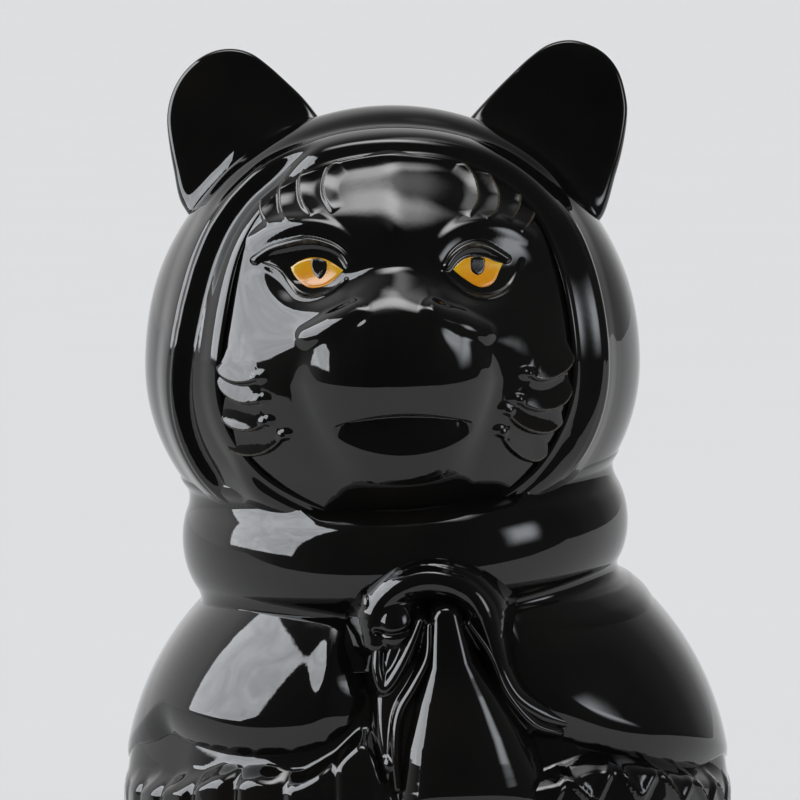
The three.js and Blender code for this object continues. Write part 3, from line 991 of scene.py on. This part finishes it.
def in_front(phi):
    return side_band(phi, 269, 52, 26)


def hem_depth(phi):
    """How deep the step under the cape's edge is: deep in front, shallow at the sides and back."""
    return 0.9 + 4.9 * in_front(phi)


def cape_swell(phi, z):
    """Long soft folds of the cape running up to the knot."""
    right = 1.1 * np.exp(-((phi - 251.5) / 2.6) ** 2 - ((z - 131) / 9) ** 2)
    return right + 0.8 * np.exp(-((phi - 300) / 6.0) ** 2 - ((z - 126) / 8) ** 2)


def tuft_relief(phi, z):
    """Fur in two bands of pointed tufts: a rounded upper edge, then zigzag ridges and flutes."""
    top = TUFTS(phi)
    pitch, length = 9.5, 8.5

    def zigzag(shift):
        """1 at a groove, 0 at a crest."""
        return np.abs(((phi + shift) / pitch) % 1 - 0.5) * 2

    wave = zigzag(4)
    left = side_band(phi, 230, 30, 14)
    below = top - 0.9 * wave * left - z
    depth = hem_depth(phi)
    d = -depth + (depth - 0.3) * step(below, -1.4, 4.5)
    calm = 1 - 0.75 * np.maximum(side_band(phi, 182, 8, 14), side_band(phi, 358, 8, 14))
    d -= left * calm * 1.5 * np.exp(-((1 - wave) / 0.28) ** 2) * step(below, 0, 4)
    line = top - 1.5 - length * wave
    d += (1 - left) * calm * step(below, -3, 1) * 1.0 * np.exp(-((z - line) / 1.4) ** 2)
    second = top - 17 - length * zigzag(8.7)
    d += 0.9 * np.exp(-((z - second) / 1.5) ** 2)
    return d * step(z, 62, 84) - 0.3 * (1 - step(z, 62, 84))


def make_body():
    columns, outer = count(520), count(165)
    phi = np.linspace(0, 360, columns, endpoint=False)
    p = np.radians(phi)
    turn_under = np.radians(np.linspace(0, 90, 7))
    heights = np.concatenate([[FOOT] * 3, FOOT + 1.6 * (1 - np.cos(turn_under)), np.linspace(3.9, TOP, outer),
                              [TOP] * 2])
    inward = np.concatenate([[-60, -30, -8], -1.6 * (1 - np.sin(turn_under)), np.zeros(outer), [-12, -30]])
    grid = []
    for height, level in zip(heights, inward):
        d = tuft_relief(phi, height)
        k = torso_radius(height)
        x, y = UPPER[0] * k * np.cos(p), UPPER[1] * k * np.sin(p)
        # haunches
        for side in (1, -1):
            q = ((x * side - 58) / 26) ** 2 + ((y + 8) / 36) ** 2 + ((height - 36) / 32) ** 2
            d = d + 5.0 * np.exp(-q ** 2)
        grid.append(body_grid(phi, np.full(columns, height), d + level))
    grid = np.array(grid)
    vertices = np.vstack([grid.reshape(-1, 3), [0, 0, FOOT], [0, 0, TOP]])
    build("body", vertices, tube_faces(len(heights), columns), GLAZE, ["body_shell"])


def paw(size, flat, wrist, end):
    """Section of a limb, thick above, that narrows to the wrist and widens to a flattened paw."""
    def section(t):
        swell = 1 + 2.5 * wrist * (1 - step(t, 0.1, 0.6)) - wrist * np.exp(-((t - 0.68) / 0.1) ** 2)
        broad = 1 + flat * step(t, 0.7, 0.85)
        r = size * swell * rounded(t, end)
        return r * broad, r * (2 - broad)
    return section


def tail_section(t):
    half = 10.6 * (1 - 0.12 * t) * rounded(t, 0.1)
    return half, half


RAISED = [(60, -14, 74), (58, -44, 56), (46, -60, 58), (36, -62, 72), (35, -62, 84)]
RESTING = [(-48, -32, 84), (-36, -52, 52), (-20, -60, 28), (-15, -61, 14.5)]
TAIL = [(2, 60, 13), (32, 62, 13), (54, 50, 13), (65, 34, 13), (66, 14, 13), (65, 6, 13)]


def make_limbs():
    foreleg = paw(12.3, 0.06, 0.08, 0.12)
    sweep("foreleg_raised", "raised_foreleg", RAISED, foreleg, 96, 160, (0, -1, 0), 1.2)
    sweep("foreleg_resting", "resting_foreleg", RESTING, foreleg, 96, 160, (0, -1, 0.2), 1.3)
    sweep("tail", "curled_tail", TAIL, tail_section, 56, 120, (0, 0, 1))
    hind_paw = paw(13.0, 0.08, 0.0, 0.35)
    for side, x in (("left", 38), ("right", -43)):
        route = [(x, -32, 13.4), (x, -50, 13.2), (x, -73, 11.8)]
        sweep("hind_paw_" + side, side + "_hind_paw", route, hind_paw, 96, 120, (0, 0, 1), 1.4)


# ---------------------------------------------------------------- set
def plane(name, box, material):
    mesh = bpy.data.meshes.new(name)
    x0, x1, y0, y1 = box
    mesh.from_pydata([(x0, y0, 0), (x1, y0, 0), (x1, y1, 0), (x0, y1, 0)], [], [(0, 1, 2, 3)])
    mesh.materials.append(material)
    piece = bpy.data.objects.new(name, mesh)
    bpy.context.scene.collection.objects.link(piece)
    return piece


NEAR = -0.36  # in metres: the floor this side of it is not reflected
FAR = 30


def make_set():
    """A pale floor that goes on in all directions, the air round it, and soft lights."""
    paper = make_paper()
    plane("floor", (-FAR, FAR, NEAR, FAR), paper)
    plane("floor_in_front", (-FAR, FAR, -FAR, NEAR), paper).visible_glossy = False
    make_room()
    softbox("window_left", -79, 30, 1000, (880, 1020), 6.2, (0.05, 0.05), (0.93, 0.96, 1.0), 0.2)
    softbox("overhead", -16, 79, 900, (780, 330), 6.5, (0.7, 0.8))
    softbox("ceiling", 60, 85, 1000, (1000, 420), 1.8, (0.9, 0.9))
    softbox("window_right", 60, 20, 1100, (520, 640), 4.6, (0.8, 0.9), (0.9, 0.94, 1.0))


def grey(value):
    return (value,) * 3


def make_room():
    """Even light all round. Reflections see a room instead, dark in front of the cat and bright behind it."""
    world = bpy.data.worlds.new("studio")
    bpy.context.scene.world = world
    world.use_nodes = True
    tree = world.node_tree
    background = next(n for n in tree.nodes if n.type == "BACKGROUND")
    where = node_of(tree, "TexCoord")
    split = node_of(tree, "SeparateXYZ")
    tree.links.new(where.outputs["Generated"], split.inputs["Vector"])
    back = math(tree, "MULTIPLY_ADD", split.outputs["X"], -0.24, 0.47)
    back = math(tree, "MULTIPLY_ADD", split.outputs["Y"], 0.47, back)
    depth = ramp(tree, back, [(0.0, grey(0.028)), (0.3, grey(0.04)), (0.52, grey(0.1)), (0.7, grey(0.36)),
                              (0.84, grey(0.82))])
    side = [(0.15, grey(0)), (0.6, (0.02, 0.021, 0.022)), (1.0, grey(0.025))]
    sideways = ramp(tree, split.outputs["X"], side)
    total = node_of(tree, "Mix", Factor=1)
    total.data_type, total.blend_type = "RGBA", "ADD"
    tree.links.new(depth.outputs["Color"], total.inputs["A"])
    tree.links.new(sideways.outputs["Color"], total.inputs["B"])
    path = node_of(tree, "LightPath")
    mix = node_of(tree, "Mix")
    mix.data_type = "RGBA"
    tree.links.new(path.outputs["Is Glossy Ray"], mix.inputs["Factor"])
    mix.inputs["A"].default_value = (0.78, 0.789, 0.798, 1)
    tree.links.new(total.outputs["Result"], mix.inputs["B"])
    tree.links.new(mix.outputs["Result"], background.inputs["Color"])


LIT = (-5, -20, 170)  # what the lights point at


def softbox(name, azimuth, elevation, distance, size, strength, edge, tint=(1, 1, 1), mottle=0.0):
    """A soft light seen only in reflections. Azimuth is from the front, positive to the cat's left. Edge is the
    share of its half width and half height over which it fades out. Mottle is how unevenly it shines."""
    az, el = np.radians(azimuth), np.radians(elevation)
    way = np.array([np.sin(az) * np.cos(el), -np.cos(az) * np.cos(el), np.sin(el)])
    data = bpy.data.lights.new(name, "AREA")
    data.shape = "RECTANGLE"
    data.size, data.size_y = size[0] * MM, size[1] * MM
    data.energy = strength * data.size * data.size_y * np.pi
    data.color = tint
    data.use_nodes = True
    tree = data.node_tree
    emission = next(n for n in tree.nodes if n.type == "EMISSION")
    geometry = node_of(tree, "NewGeometry")
    split = node_of(tree, "SeparateXYZ")
    tree.links.new(geometry.outputs["Parametric"], split.inputs["Vector"])
    fades = []
    for axis, share in zip(("X", "Y"), edge):
        off = math(tree, "ABSOLUTE", math(tree, "SUBTRACT", split.outputs[axis], 0.5))
        fade = node_of(tree, "MapRange", From_Min=0.5, From_Max=0.5 - 0.5 * share)
        fade.interpolation_type = "SMOOTHSTEP"
        tree.links.new(off, fade.inputs["Value"])
        fades.append(fade.outputs["Result"])
    total = math(tree, "MULTIPLY", fades[0], fades[1])
    if mottle:
        uneven = node_of(tree, "TexNoise", Scale=3, Detail=4, Distortion=1.5)
        tree.links.new(geometry.outputs["Parametric"], uneven.inputs["Vector"])
        dim = node_of(tree, "MapRange", From_Min=0.3, From_Max=0.7, To_Min=1 - mottle, To_Max=1 + mottle)
        tree.links.new(uneven.outputs["Fac"], dim.inputs["Value"])
        total = math(tree, "MULTIPLY", total, dim.outputs["Result"])
    tree.links.new(total, emission.inputs["Strength"])
    light = bpy.data.objects.new(name, data)
    light.location = (np.array(LIT) + way * distance) * MM
    light.rotation_euler = Vector(-way).to_track_quat("-Z", "Y").to_euler()
    light.visible_diffuse = False
    light.visible_camera = False
    bpy.context.scene.collection.objects.link(light)


for pad in ("front_left", "front_right", "back_left", "back_right"):
    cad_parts["felt_pad_" + pad].data.materials[0] = FELT

make_hood()
make_face()
for eye_side, eye_shape in EYES.items():
    make_eye(eye_side, eye_shape)
make_ear("ear_right", "right_ear",
         [(-26, 259.6), (-30.6, 265.2), (-35.3, 269.7), (-39.5, 273.4), (-43.5, 276.2), (-47.8, 277.4),
          (-52.4, 277.0), (-56.7, 275.0), (-60.4, 271.6), (-63.0, 267.4), (-64.4, 262.6), (-64.5, 257.4),
          (-63, 247.8), (-60.6, 238.6), (-54, 234), (-42, 241), (-32, 250), (-26, 259.6)], (-46, 257))
make_ear("ear_left", "left_ear",
         [(10.4, 259.8), (16, 265.8), (21, 270.8), (26, 275.4), (30.8, 278.6), (36.2, 279.6), (41.4, 278.2),
          (45.3, 275.6), (48.1, 271.7), (49.7, 266.5), (50.2, 261.4), (49.2, 253.8), (47.3, 246.4),
          (43.6, 235.6), (37, 234), (25, 243), (15, 252), (10.4, 259.8)], (31, 258))
make_roll()
make_knot()
make_cape()
make_body()
make_limbs()
make_set()

bpy.context.scene.view_settings.view_transform = "Standard"
